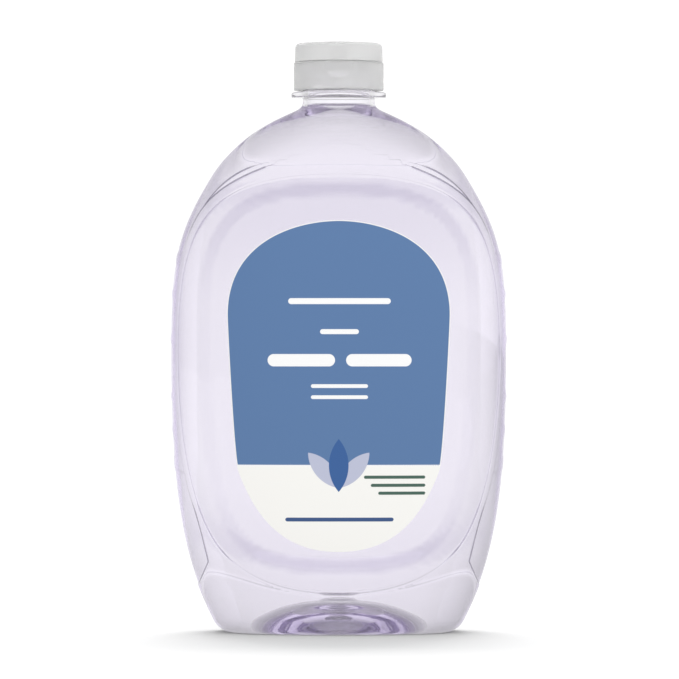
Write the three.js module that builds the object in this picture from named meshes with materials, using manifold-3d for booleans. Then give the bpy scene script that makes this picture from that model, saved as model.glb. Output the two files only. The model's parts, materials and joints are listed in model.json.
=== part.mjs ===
// Hand soap refill pack: a clear blown bottle with an oval body, the soap that fills it,
// a front and a back label, and a flip-top screw cap moulded as a base and a lid.
// Millimetres, +Z up, front towards -Y. The origin is on the ground, under the bottle's centre.
import * as THREE from 'three';
import { mergeVertices } from 'three/addons/utils/BufferGeometryUtils.js';
import Module from 'manifold-3d';

const wasm = await Module();
wasm.setup();

// Driving dimensions
const CLEARANCE = 0.3;            // between pieces that touch
const AROUND = 40;                // points round each ring of the bottle and cap

const BODY_HALF_WIDTH = 69.5;     // widest, at WIDEST_HEIGHT
const BODY_HALF_DEPTH = 36.9;
const WIDEST_HEIGHT = 117;
const SHOULDER_HEIGHT = 187.6;    // where the flank turns into the shoulder
const SHOULDER_HALF_WIDTH = 52.9;
const SHOULDER_HALF_DEPTH = 31.2;
const NECK_BASE_HEIGHT = 216;     // where the shoulder meets the neck
const HEEL_HEIGHT = 6.3;
const HEEL_HALF_WIDTH = 52.3;
const HEEL_HALF_DEPTH = 32.5;
const BODY_POWER = 2.5;           // squareness of the body's section; 2 is an ellipse
const BASE_POWER = 2.2;
const ROUND_POWER = 2;

const FOOT_OUTER = { halfWidth: 43.5, halfDepth: 27 };  // the flat standing ring
const FOOT_INNER = { halfWidth: 40.5, halfDepth: 24.6 };
const PUNT_HEIGHT = 14;           // the base is pushed up inside the standing ring
const PUNT_FULLNESS = 2.6;        // 2 would be a plain parabola

const WALL = 0.6;                 // blown wall
const BASE_WALL = 1;

const NECK_RADIUS = 14.9;
const NECK_ROOT_RADIUS = 15.05;
const BORE_RADIUS = 12.9;
const RIM_HEIGHT = 233.4;
const RIM_ROUND = 0.35;
const RING_RADIUS = 19.5;         // support ring under the cap
const RING_LOW = 220;
const RING_HIGH = 222;
const RING_EDGE = 0.4;

const LABEL_THICKNESS = 0.25;
const LABEL_GAP = 0.4;            // to the faceted wall behind it
const LABEL_MIDDLE_HEIGHT = 101.6;
const LABEL_FIRST_HALF_WIDTH = 5; // rows narrower than this are left to the closing edge
const BACK_LABEL_SCALE = 0.84;

const PANEL_DEPTH = 0.8;          // recess that holds the label
const PANEL_MARGIN = 8;           // from the label's edge to the middle of the recess's step
const PANEL_STEP = 4;             // width of that step

const GRIP_DEPTH = 0.4;           // pads down both sides of the body
const GRIP_HALF_DEPTH = 15.5;
const GRIP_LOW = 20;
const GRIP_HIGH = 176;
const GRIP_STEP = 5;

const SKIRT_LOW = 222.9;          // bottom of the cap
const SKIRT_RADIUS = 18.55;
const SKIRT_BORE = 16.6;
const SEAM_HEIGHT = 234.6;        // fold between cap base and lid
const DECK_HIGH = 235.2;
const DECK_STEP_RADIUS = 16.3;    // the raised part of the deck, inside the lid's wall
const SPOUT_RADIUS = 5.2;
const SPOUT_HIGH = 236;
const ORIFICE_RADIUS = 4;
const SEAL_LOW = 230.9;           // plug seal that enters the bottle's bore
const SEAL_INNER_RADIUS = 11.6;
const SEAL_TAPER = 0.4;
const EDGE = 0.3;                 // small bevel on the moulded edges
const THUMB_DEPTH = 0.9;
const THUMB_HEIGHT = 6.5;

const LID_RADIUS = 18.15;
const LID_TOP_RADIUS = 17.9;
const LID_WALL = 1.35;
const LID_HIGH = 242.8;
const LID_DOME = 0.4;
const LID_CORNER = 2;
const PIN_RADIUS = 3.6;
const PIN_BORE = 2.6;
const PIN_LOW = 234;

const HINGE_WIDTH = 9;
const HINGE_BACK = 19.15;         // how far the hinge lugs reach behind the axis of the cap
const HINGE_FRONT = 17.2;
const HINGE_HEIGHT = 2.2;         // of each lug
const HINGE_CHAMFER = 1.3;

// Outlines as chains of cubic curves of (reach from the centre, height)
const chain = (...curves) => curves.map((p) => new THREE.CubicBezierCurve(
  ...p.map(([reach, height]) => new THREE.Vector2(reach, height))));

const frontHeel = chain(
  [[FOOT_OUTER.halfWidth, 0], [48.2, 0], [50.9, 2.8], [HEEL_HALF_WIDTH, HEEL_HEIGHT]]);
const sideHeel = chain(
  [[FOOT_OUTER.halfDepth, 0], [30.3, 0], [31.9, 2.8], [HEEL_HALF_DEPTH, HEEL_HEIGHT]]);
const frontFlank = chain(
  [[HEEL_HALF_WIDTH, HEEL_HEIGHT], [67.3, 35.6], [BODY_HALF_WIDTH, 70.3],
    [BODY_HALF_WIDTH, WIDEST_HEIGHT]],
  [[BODY_HALF_WIDTH, WIDEST_HEIGHT], [BODY_HALF_WIDTH, 153.6], [66.9, 164.7],
    [SHOULDER_HALF_WIDTH, SHOULDER_HEIGHT]],
  [[SHOULDER_HALF_WIDTH, SHOULDER_HEIGHT], [41, 207.2], [18.6, 213.6],
    [NECK_ROOT_RADIUS, NECK_BASE_HEIGHT]]);
const sideFlank = chain(
  [[HEEL_HALF_DEPTH, HEEL_HEIGHT], [36, 20], [BODY_HALF_DEPTH, 38], [BODY_HALF_DEPTH, 72]],
  [[BODY_HALF_DEPTH, 72], [BODY_HALF_DEPTH, 140], [36.9, 161],
    [SHOULDER_HALF_DEPTH, SHOULDER_HEIGHT]],
  [[SHOULDER_HALF_DEPTH, SHOULDER_HEIGHT], [28.1, 202.2], [17.5, 211.5],
    [NECK_ROOT_RADIUS, NECK_BASE_HEIGHT]]);
const labelOutline = chain(
  [[0, 34.1], [24.5, 34.1], [34.8, 50.5], [41, 66.7]],
  [[41, 66.7], [43.1, 72.3], [45.7, 126.5], [45.7, 130.6]],
  [[45.7, 130.6], [45.7, 160.9], [17.3, 169], [0, 169]]);

// The point of a chain at a height; the chain rises all the way
function atHeight(curves, height) {
  const curve = curves.find((c) => height <= c.v3.y) ?? curves.at(-1);
  let low = 0;
  let high = 1;
  for (let step = 0; step < 30; step += 1) {
    const middle = (low + high) / 2;
    if (curve.getPoint(middle).y < height) low = middle;
    else high = middle;
  }
  const t = (low + high) / 2;
  return { reach: curve.getPoint(t).x, slope: curve.getTangent(t) };
}

const smoothstep = THREE.MathUtils.smoothstep;
const lerp = THREE.MathUtils.lerp;

// Distance outside the label's outline, measured along the line from the label's middle
const labelEdge = labelOutline.flatMap((curve) => curve.getPoints(16)).map((p) => {
  const rise = p.y - LABEL_MIDDLE_HEIGHT;
  return { angle: Math.atan2(rise, p.x), radius: Math.hypot(p.x, rise) };
});
function outsideLabel(x, z) {
  const rise = z - LABEL_MIDDLE_HEIGHT;
  const angle = Math.atan2(rise, Math.abs(x));
  const next = Math.max(1, labelEdge.findIndex((p) => p.angle >= angle));
  const [a, b] = [labelEdge[next - 1], labelEdge[next]];
  const radius = lerp(a.radius, b.radius, (angle - a.angle) / (b.angle - a.angle || 1));
  return Math.hypot(x, rise) - radius;
}

// How far a point of the plain oval body is let in: the label panel is let into the front and
// back along Y, and the grip pads into the sides along X
function recess({ x, y, z }) {
  const outsidePanel = outsideLabel(x, z) - PANEL_MARGIN;
  const panel = PANEL_DEPTH * (1 - smoothstep(outsidePanel, -PANEL_STEP / 2, PANEL_STEP / 2));
  const middle = (GRIP_LOW + GRIP_HIGH) / 2;
  const along = Math.abs(z - middle) / ((GRIP_HIGH - GRIP_LOW) / 2);
  const gripHalf = GRIP_HALF_DEPTH * Math.sqrt(Math.max(0, 1 - along ** 3));
  const grip = GRIP_DEPTH * (1 - smoothstep(Math.abs(y) - gripHalf, -GRIP_STEP, 0));
  return new THREE.Vector3(Math.sign(x) * grip, Math.sign(y) * panel, 0);
}

// The body's section at a height, shrunk by an inset measured square to the wall
function section(height, inset) {
  const front = atHeight(frontFlank, height);
  const side = atHeight(sideFlank, height);
  const roundness = smoothstep(height, SHOULDER_HEIGHT, NECK_BASE_HEIGHT);
  return {
    halfWidth: front.reach - inset / front.slope.y,
    halfDepth: side.reach - inset / side.slope.y,
    power: lerp(BODY_POWER, ROUND_POWER, roundness),
  };
}

// One closed ring of points at a height
function ring(halfWidth, halfDepth, height, power = ROUND_POWER) {
  return Array.from({ length: AROUND }, (_, k) => {
    const angle = (2 * Math.PI * k) / AROUND;
    const [c, s] = [Math.cos(angle), Math.sin(angle)];
    const x = Math.sign(c) * halfWidth * Math.abs(c) ** (2 / power);
    const y = Math.sign(s) * halfDepth * Math.abs(s) ** (2 / power);
    return new THREE.Vector3(x, y, height);
  });
}

// Rings from the middle of the pushed-up base out to the top of the heel
function baseRings(inset, lift) {
  const puntSteps = 5;
  const heelSteps = 4;
  const rings = [];
  for (let k = 1; k <= puntSteps; k += 1) {
    const part = k / puntSteps;
    const height = PUNT_HEIGHT * (1 - part ** PUNT_FULLNESS) + lift;
    const { halfWidth, halfDepth } = FOOT_INNER;
    rings.push(ring(halfWidth * part, halfDepth * part, height, BASE_POWER));
  }
  for (let k = 0; k < heelSteps; k += 1) {
    const part = k / heelSteps;
    const front = frontHeel[0].getPoint(part);
    const side = sideHeel[0].getPoint(part);
    const height = front.y + lift * (1 - part);
    rings.push(ring(front.x - inset, side.x - inset, height, lerp(BASE_POWER, BODY_POWER, part)));
  }
  return rings;
}

// Rings up the body, from the top of the heel to just under the neck
function bodyRings(inset) {
  const heights = [HEEL_HEIGHT, 12, 19, 27, 35, 44, 55, 68, 82, 96, 110, 124, 137, 148, 158,
    166.5, 174, 181, 187.5, 194, 200, 205, 209.5, 213];
  return heights.map((height) => {
    const plain = section(height, 0);
    const skin = section(height, inset);
    const outside = ring(plain.halfWidth, plain.halfDepth, height, plain.power);
    return ring(skin.halfWidth, skin.halfDepth, height, skin.power)
      .map((point, k) => point.sub(recess(outside[k])));
  });
}

const circles = (profile) => profile.map(([radius, height]) => ring(radius, radius, height));

// A closed solid through rings that start round one pole and end round another. Each cell is
// split from its lower ring's near corner to its upper ring's far one, on the way up and on the
// way down, so that skins inside one another stay parallel.
function loft(startHeight, rings, endHeight) {
  const points = [new THREE.Vector3(0, 0, startHeight), ...rings.flat(),
    new THREE.Vector3(0, 0, endHeight)];
  const last = points.length - 1;
  const index = [];
  for (let k = 0; k < AROUND; k += 1) {
    const next = (k + 1) % AROUND;
    index.push(0, 1 + next, 1 + k);
    for (let row = 0; row < rings.length - 1; row += 1) {
      const low = 1 + row * AROUND;
      const high = low + AROUND;
      const [a, b, c, d] = [low + k, low + next, high + next, high + k];
      if (rings[row + 1][0].z > rings[row][0].z) index.push(a, b, c, a, c, d);
      else index.push(a, b, d, b, c, d);
    }
    index.push(last - AROUND + k, last - AROUND + next, last);
  }
  return new THREE.BufferGeometry().setFromPoints(points).setIndex(index);
}

// Outer skin up to the rim, then down the bore and the inner skin: one open-mouthed shell
function bottleGeometry() {
  const outside = [
    ...baseRings(0, 0),
    ...bodyRings(0),
    ...circles([
      [NECK_ROOT_RADIUS, NECK_BASE_HEIGHT], [NECK_ROOT_RADIUS, RING_LOW],
      [RING_RADIUS - RING_EDGE, RING_LOW], [RING_RADIUS, RING_LOW + RING_EDGE],
      [RING_RADIUS, RING_HIGH - 2 * RING_EDGE], [RING_RADIUS - RING_EDGE, RING_HIGH - RING_EDGE],
      [NECK_RADIUS, RING_HIGH], [NECK_RADIUS, RIM_HEIGHT - RIM_ROUND],
      [NECK_RADIUS - RIM_ROUND, RIM_HEIGHT], [BORE_RADIUS + RIM_ROUND, RIM_HEIGHT],
      [BORE_RADIUS, RIM_HEIGHT - RIM_ROUND]]),
  ];
  const inside = [
    ...baseRings(WALL, BASE_WALL),
    ...bodyRings(WALL).slice(0, -1),
    ...circles([[BORE_RADIUS, NECK_BASE_HEIGHT]]),
  ];
  return loft(PUNT_HEIGHT, [...outside, ...inside.reverse()], PUNT_HEIGHT + BASE_WALL);
}

// The soap fills the inner skin up to the foot of the neck
function soapGeometry() {
  const inset = WALL + CLEARANCE;
  const lift = BASE_WALL + CLEARANCE;
  const rings = [...baseRings(inset, lift), ...bodyRings(inset).slice(0, -1),
    ...circles([[BORE_RADIUS - CLEARANCE, NECK_BASE_HEIGHT]])];
  return loft(PUNT_HEIGHT + lift, rings, NECK_BASE_HEIGHT);
}

// A label is a thin sheet that lies on the body: side is -1 for the front, 1 for the back
function labelGeometry(side, scale) {
  const columns = 10;
  const rows = labelOutline.flatMap((curve) => curve.getPoints(5).slice(1)).map((p) => ({
    half: p.x * scale,
    height: lerp(LABEL_MIDDLE_HEIGHT, p.y, scale),
  })).filter((row) => row.half > LABEL_FIRST_HALF_WIDTH);
  const face = (offset) => rows.flatMap(({ half, height }) => {
    const { halfWidth, halfDepth, power } = section(height, 0);
    return Array.from({ length: columns + 1 }, (_, k) => {
      const x = half * ((2 * k) / columns - 1);
      const y = halfDepth * (1 - (Math.abs(x) / halfWidth) ** power) ** (1 / power);
      return new THREE.Vector3(x, side * (y - PANEL_DEPTH + offset), height);
    });
  });
  const inner = face(LABEL_GAP);
  const points = [...inner, ...face(LABEL_GAP + LABEL_THICKNESS)];
  const wide = columns + 1;
  const index = [];
  const quad = (a, b, c, d) => index.push(a, b, c, a, c, d);
  const cell = (a, b, c, d, back) => (back ? quad(d, c, b, a) : quad(a, b, c, d));
  for (let row = 0; row < rows.length - 1; row += 1) {
    for (let k = 0; k < columns; k += 1) {
      const a = row * wide + k;
      cell(a, a + 1, a + 1 + wide, a + wide, side < 0);
      const b = a + inner.length;
      cell(b, b + 1, b + 1 + wide, b + wide, side > 0);
    }
  }
  const loop = [
    ...Array.from({ length: columns }, (_, k) => k),
    ...Array.from({ length: rows.length - 1 }, (_, row) => row * wide + columns),
    ...Array.from({ length: columns }, (_, k) => rows.length * wide - 1 - k),
    ...Array.from({ length: rows.length - 1 }, (_, row) => (rows.length - 1 - row) * wide),
  ];
  loop.forEach((a, k) => {
    const b = loop[(k + 1) % loop.length];
    cell(a, b, b + inner.length, a + inner.length, side > 0);
  });
  return new THREE.BufferGeometry().setFromPoints(points).setIndex(index);
}

// Geometry to manifold-3d solid and back
function toSolid(geometry) {
  geometry.deleteAttribute('normal');
  geometry.deleteAttribute('uv');
  const merged = mergeVertices(geometry, 1e-3);
  return new wasm.Manifold(new wasm.Mesh({
    numProp: 3,
    vertProperties: new Float32Array(merged.attributes.position.array),
    triVerts: new Uint32Array(merged.index.array),
  }));
}
function toGeometry(solid) {
  const { vertProperties, triVerts } = solid.getMesh();
  const geometry = new THREE.BufferGeometry();
  geometry.setAttribute('position', new THREE.BufferAttribute(vertProperties, 3));
  return geometry.setIndex(new THREE.BufferAttribute(triVerts, 1));
}

// A profile of (radius, height) turned round the Z axis
function turned(profile) {
  const points = profile.map(([radius, height]) => new THREE.Vector2(radius, height));
  return new THREE.LatheGeometry(points, AROUND).rotateX(Math.PI / 2);
}

// A hinge lug: a bar behind the cap, chamfered on the side away from the fold
function hingeLug(foldHeight, direction) {
  const shape = new THREE.Shape();
  const far = foldHeight + direction * HINGE_HEIGHT;
  shape.moveTo(HINGE_FRONT, foldHeight);
  shape.lineTo(HINGE_BACK, foldHeight);
  shape.lineTo(HINGE_BACK, far - direction * HINGE_CHAMFER);
  shape.lineTo(HINGE_FRONT, far);
  const bar = new THREE.ExtrudeGeometry(shape, { depth: HINGE_WIDTH, bevelEnabled: false });
  const turn = new THREE.Matrix4().makeBasis(
    new THREE.Vector3(0, 1, 0), new THREE.Vector3(0, 0, 1), new THREE.Vector3(1, 0, 0));
  return toSolid(bar.applyMatrix4(turn).translate(-HINGE_WIDTH / 2, 0, 0));
}

// Skirt, stepped deck with a pouring orifice, and the plug seal under it
function capBaseGeometry() {
  const deckLow = RIM_HEIGHT + CLEARANCE;
  const shoulder = SEAM_HEIGHT - CLEARANCE / 2;
  const sealRadius = BORE_RADIUS - 0.35;
  const body = toSolid(turned([
    [SKIRT_BORE + EDGE, SKIRT_LOW], [SKIRT_RADIUS - 2 * EDGE, SKIRT_LOW],
    [SKIRT_RADIUS, SKIRT_LOW + 4 * EDGE], [SKIRT_RADIUS, shoulder - EDGE],
    [SKIRT_RADIUS - EDGE, shoulder], [DECK_STEP_RADIUS, shoulder],
    [DECK_STEP_RADIUS - EDGE, DECK_HIGH], [SPOUT_RADIUS + EDGE, DECK_HIGH],
    [SPOUT_RADIUS, SPOUT_HIGH - EDGE], [SPOUT_RADIUS - EDGE, SPOUT_HIGH],
    [ORIFICE_RADIUS + EDGE, SPOUT_HIGH], [ORIFICE_RADIUS, SPOUT_HIGH - EDGE],
    [ORIFICE_RADIUS, deckLow], [SEAL_INNER_RADIUS, deckLow], [SEAL_INNER_RADIUS, SEAL_LOW],
    [sealRadius - SEAL_TAPER, SEAL_LOW], [sealRadius, SEAL_LOW + 2 * SEAL_TAPER],
    [sealRadius, deckLow], [SKIRT_BORE, deckLow], [SKIRT_BORE, SKIRT_LOW + EDGE],
    [SKIRT_BORE + EDGE, SKIRT_LOW]]));
  const scoopRadius = THUMB_HEIGHT ** 2 / (2 * THUMB_DEPTH);
  const scoop = new THREE.CylinderGeometry(scoopRadius, scoopRadius, SKIRT_RADIUS, 120)
    .rotateZ(Math.PI / 2)
    .translate(0, THUMB_DEPTH - SKIRT_RADIUS - scoopRadius, shoulder);
  return toGeometry(body.add(hingeLug(shoulder, -1)).subtract(toSolid(scoop)));
}

// Slightly domed cup with the pin that closes the orifice
function capLidGeometry() {
  const low = SEAM_HEIGHT + CLEARANCE / 2;
  const edgeHigh = LID_HIGH - LID_DOME;
  const under = edgeHigh - LID_WALL;
  const corner = [1, 2, 3].map((k) => {
    const angle = (k * Math.PI) / 8;
    return [LID_TOP_RADIUS - LID_CORNER * (1 - Math.cos(angle)),
      edgeHigh - LID_CORNER * (1 - Math.sin(angle))];
  });
  const body = toSolid(turned([
    [0, LID_HIGH], [LID_TOP_RADIUS / 2, LID_HIGH - LID_DOME / 4],
    [LID_TOP_RADIUS - LID_CORNER, edgeHigh],
    ...corner.reverse(), [LID_TOP_RADIUS, edgeHigh - LID_CORNER],
    [LID_RADIUS, low], [LID_RADIUS - LID_WALL, low],
    [LID_TOP_RADIUS - LID_WALL, under - 1], [LID_TOP_RADIUS - LID_WALL - 1, under],
    [PIN_RADIUS, under], [PIN_RADIUS, PIN_LOW + EDGE], [PIN_RADIUS - EDGE, PIN_LOW],
    [PIN_BORE, PIN_LOW], [PIN_BORE, under], [0, under]].reverse()));
  return toGeometry(body.add(hingeLug(low, 1)));
}

// Materials
const finish = (color, roughness, opacity = 1) => new THREE.MeshStandardMaterial({
  color, roughness, metalness: 0, transparent: opacity < 1, opacity,
});
const CLEAR_PET = finish('#eceaf2', 0.05, 0.35);
const LAVENDER_SOAP = finish('#ded9ea', 0.05, 0.6);
const LABEL_BLUE = finish('#5e80ae', 0.4);
const LABEL_WHITE = finish('#f8f6f2', 0.4);
const NATURAL_PP = finish('#e2e2e4', 0.35, 0.85);
const NATURAL_PP_LID = finish('#e8e8ea', 0.35, 0.85);

function piece(name, geometry, material) {
  const mesh = new THREE.Mesh(geometry, material);
  mesh.name = name;
  return mesh;
}

const pack = new THREE.Group();
pack.add(
  piece('bottle', bottleGeometry(), CLEAR_PET),
  piece('soap', soapGeometry(), LAVENDER_SOAP),
  piece('front_label', labelGeometry(-1, 1), LABEL_BLUE),
  piece('back_label', labelGeometry(1, BACK_LABEL_SCALE), LABEL_WHITE),
  piece('cap_base', capBaseGeometry(), NATURAL_PP),
  piece('cap_lid', capLidGeometry(), NATURAL_PP_LID),
);

export default pack;
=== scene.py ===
import json
import math

import bmesh
import bpy
import numpy as np
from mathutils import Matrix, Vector


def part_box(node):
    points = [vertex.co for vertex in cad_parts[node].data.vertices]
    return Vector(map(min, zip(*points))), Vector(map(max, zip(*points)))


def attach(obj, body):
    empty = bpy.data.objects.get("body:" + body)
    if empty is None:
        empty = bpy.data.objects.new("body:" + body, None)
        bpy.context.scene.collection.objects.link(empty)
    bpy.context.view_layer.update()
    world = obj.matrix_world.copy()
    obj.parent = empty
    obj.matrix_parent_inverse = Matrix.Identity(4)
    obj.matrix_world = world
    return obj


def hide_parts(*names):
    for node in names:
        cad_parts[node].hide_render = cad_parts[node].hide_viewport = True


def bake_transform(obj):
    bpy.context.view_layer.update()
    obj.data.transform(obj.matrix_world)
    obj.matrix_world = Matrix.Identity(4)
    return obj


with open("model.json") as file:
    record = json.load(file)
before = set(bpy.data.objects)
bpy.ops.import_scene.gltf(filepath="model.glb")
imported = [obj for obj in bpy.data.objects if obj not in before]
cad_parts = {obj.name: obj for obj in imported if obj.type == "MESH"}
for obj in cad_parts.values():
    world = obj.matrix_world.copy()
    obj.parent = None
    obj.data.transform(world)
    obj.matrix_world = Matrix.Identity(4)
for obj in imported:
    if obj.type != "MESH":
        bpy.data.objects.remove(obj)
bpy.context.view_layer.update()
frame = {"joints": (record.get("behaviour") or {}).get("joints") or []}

# ---- Units and driving sizes. Lengths in this script are millimetres; meshes are made in metres.
MM = 0.001


def box_mm(node):
    """Lowest and highest corner of a CAD node, in millimetres."""
    return [np.array(corner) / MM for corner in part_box(node)]


BOTTLE_HIGH = box_mm("bottle")[1]
SOAP_HIGH = box_mm("soap")[1]
BASE_LOW, BASE_HIGH = box_mm("cap_base")
LID_LOW, LID_HIGH = box_mm("cap_lid")
HINGE_AXIS = next(np.array(j["pos_m"]) / MM for j in frame["joints"] if j["name"] == "lid_flip")

GRIP_DEPTH = 0.4  # grips let into both sides of the body
BODY_HALF_WIDTH = BOTTLE_HIGH[0] + GRIP_DEPTH
PANEL_DEPTH = 0.8  # recess that holds the label
BODY_HALF_DEPTH = BOTTLE_HIGH[1] + PANEL_DEPTH
WIDEST_HEIGHT = 117
SHOULDER_HEIGHT = 187.6
SHOULDER_HALF_WIDTH = 52.9
SHOULDER_HALF_DEPTH = 31.2
NECK_BASE = SOAP_HIGH[2]  # the soap stands up to the foot of the neck
HEEL_HEIGHT = 6.3
HEEL_HALF_WIDTH = 52.3
HEEL_HALF_DEPTH = 32.5
FOOT_OUTER = (43.5, 27)  # flat standing ring: half width, half depth
FOOT_INNER = (40.5, 24.6)
PUNT_HEIGHT = 14  # how far the base is pushed up
PUNT_FULLNESS = 2.6  # 2 would be a plain dome; more is flatter on top
GATE_RADIUS = 7  # thick disc left in the middle of the base
GATE_HEIGHT = 0.9

BODY_POWER, BASE_POWER, ROUND_POWER = 2.5, 2.2, 2.0

WALL = 0.5  # blown wall on the body
BASE_WALL = 1.3
BASE_WALL_RISE = (3, 30)  # heights over which the base wall thins out
NECK_WALL_START = 190  # from here up the wall thickens to the neck's
WET_OVERLAP = 0.05  # soap wets the wall, so the skins meet
MENISCUS = 0.45  # the soap stands this much higher where it wets

RIM_HEIGHT = BOTTLE_HIGH[2]
NECK_RADIUS = 14.9
NECK_ROOT_RADIUS = 15.05
BORE_RADIUS = 12.9
RING_RADIUS = 19.5
RING_LOW = 220
RING_HIGH = 222
THREAD_PITCH = 4.0
THREAD_HEIGHT = 1.1
THREAD_START = 223.9  # height of the first turn at the front
THREAD_FRONT = math.radians(270)
THREAD_TURNS = 2
THREAD_FADE = 0.15  # part of a turn over which an end runs out
THREAD_FLANK = (0.3, 1.0)  # from crest to root, measured up or down the neck

LABEL_MIDDLE = 101.6
BACK_LABEL_SCALE = 0.84
FILM = 0.1  # how far the label stands off the wall
BEDDED = 0.04  # how far its back is pressed in, so no gap shows
PANEL_STEP = 6.6  # width of its slanted edge
FRAME_DEPTH = 0.35  # shallower recess round the panel
CRISP_STEP = 1.0  # width of the mould's crisp steps
SOFT_STEP = 4.0  # the same steps as they show inside
FINER_WITHIN = (2.2, 1.0)  # the grid is halved within these of a crisp step
FAR_FROM_FOLDS = 9  # a distance that stands for no fold near
GRIP_FADE = (31, 46)  # reaches between which the grips run out above

AROUND = 180  # points round the bottle
PUNT_RINGS, HEEL_RINGS, BODY_RINGS = 26, 10, 106  # rings of points up the push-up, heel and body
PUNT_OVAL = (0.1, 0.6)  # shares of the way out between which the base turns from round to oval
SHOULDER_GAP = 1.4  # the body's last ring is this far below the neck's foot


# ---- Outlines
def curve_points(chain, steps=160):
    """Points along a chain of cubic curves given as four (reach, height) corners each."""
    t = np.linspace(0, 1, steps)[:, None]
    parts = []
    for corners in chain:
        a, b, c, d = (np.array(corner, float) for corner in corners)
        parts.append((1 - t) ** 3 * a + 3 * (1 - t) ** 2 * t * b
                     + 3 * (1 - t) * t ** 2 * c + t ** 3 * d)
    return np.vstack([parts[0]] + [part[1:] for part in parts[1:]])


def reach_at(points, height):
    return np.interp(height, points[:, 1], points[:, 0])


def smoothstep(value, low, high):
    t = np.clip((value - low) / (high - low), 0, 1)
    return t * t * (3 - 2 * t)


# Half outlines, each from the bottom up
FRONT_HEEL = curve_points([
    [(FOOT_OUTER[0], 0), (48.2, 0), (50.9, 2.8), (HEEL_HALF_WIDTH, HEEL_HEIGHT)]])
SIDE_HEEL = curve_points([
    [(FOOT_OUTER[1], 0), (30.3, 0), (31.9, 2.8), (HEEL_HALF_DEPTH, HEEL_HEIGHT)]])
FRONT_FLANK = curve_points([
    [(HEEL_HALF_WIDTH, HEEL_HEIGHT), (67.3, 35.6), (BODY_HALF_WIDTH, 70.3),
     (BODY_HALF_WIDTH, WIDEST_HEIGHT)],
    [(BODY_HALF_WIDTH, WIDEST_HEIGHT), (BODY_HALF_WIDTH, 153.6), (66.9, 164.7),
     (SHOULDER_HALF_WIDTH, SHOULDER_HEIGHT)],
    [(SHOULDER_HALF_WIDTH, SHOULDER_HEIGHT), (41, 207.2), (18.6, 213.6),
     (NECK_ROOT_RADIUS, NECK_BASE)]])
SIDE_FLANK = curve_points([
    [(HEEL_HALF_DEPTH, HEEL_HEIGHT), (36, 20), (BODY_HALF_DEPTH, 38), (BODY_HALF_DEPTH, 72)],
    [(BODY_HALF_DEPTH, 72), (BODY_HALF_DEPTH, 140), (BODY_HALF_DEPTH, 161),
     (SHOULDER_HALF_DEPTH, SHOULDER_HEIGHT)],
    [(SHOULDER_HALF_DEPTH, SHOULDER_HEIGHT), (28.1, 202.2), (17.5, 211.5),
     (NECK_ROOT_RADIUS, NECK_BASE)]])
LABEL_OUTLINE = curve_points([
    [(0, 34.1), (24.5, 34.1), (34.8, 50.5), (41, 66.7)],
    [(41, 66.7), (43.1, 72.3), (45.7, 126.5), (45.7, 130.6)],
    [(45.7, 130.6), (45.7, 160.9), (17.3, 169), (0, 169)]])
PANEL_OUTLINE = curve_points([
    [(0, 27.5), (24, 27.5), (37, 32), (44.8, 45.6)],
    [(44.8, 45.6), (52, 60), (55.5, 90), (55.5, 125)],
    [(55.5, 125), (56, 170), (42, 181.5), (0, 181.5)]])
FRAME_OUTLINE = curve_points([
    [(0, 17.1), (26, 17.1), (42, 26), (50.2, 37.5)],
    [(50.2, 37.5), (60, 52), (65.9, 80), (65.9, 115)],
    [(65.9, 115), (65.9, 171), (53, 187.8), (0, 187.8)]])
# Front edge of the grip down each side: barbed at the heel, running out over the shoulder
GRIP_LINE = curve_points([
    [(57.6, 20.5), (56, 24), (54.6, 27), (53.4, 29.7)],
    [(53.4, 29.7), (55.2, 37), (57, 45), (59.8, 53)],
    [(59.8, 53), (64.5, 66), (67.5, 88), (67.5, 112)],
    [(67.5, 112), (67.5, 140), (66, 158), (57.8, 171.5)],
    [(57.8, 171.5), (51, 182.5), (43, 190), (29, 192.6)]], 40)
# Groove under the top of the grip, which it meets at both ends
BROW_LINE = curve_points([[(57, 173), (50.5, 181.5), (43, 185.8), (30, 190.8)]], 40)
BROW_DEPTH = 0.15
# Finger scallops down the middle of the grip: top and bottom of each
SCALLOPS = ((153, 140.2), (138.6, 121.2), (120, 97.7), (96.5, 83.7), (82.5, 71.3))
SCALLOP_HALF_DEPTH = 10.5
SCALLOP_DEPTH = 0.3
SCALLOP_STEP = 1.2
SCALLOPED = (66, 156)  # heights of the part of the grip that has them
SCALLOP_REACH = 50  # they are further out than this


def outside(outline, x, z, middle=LABEL_MIDDLE):
    """Distance outside a closed outline, along the line from its middle."""
    angles = np.arctan2(outline[:, 1] - middle, outline[:, 0])
    radii = np.hypot(outline[:, 0], outline[:, 1] - middle)
    angle = np.arctan2(z - middle, np.abs(x))
    return np.hypot(x, z - middle) - np.interp(angle, angles, radii)


def beyond(line, x, z):
    """Distance to the outer side of an open line that runs upwards; negative towards the middle."""
    nearest = np.full(np.shape(x), np.inf)
    side = np.ones(np.shape(x))
    for start, end in zip(line[:-1], line[1:]):
        run = end - start
        length = np.hypot(*run)
        along = np.clip(((x - start[0]) * run[0] + (z - start[1]) * run[1]) / length ** 2, 0, 1)
        away = np.hypot(x - start[0] - along * run[0], z - start[1] - along * run[1])
        turn = (x - start[0]) * run[1] - (z - start[1]) * run[0]
        closer = away < nearest - 1e-9
        nearest = np.where(closer, away, nearest)
        side = np.where(closer, np.sign(turn), side)
    return nearest * side


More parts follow.
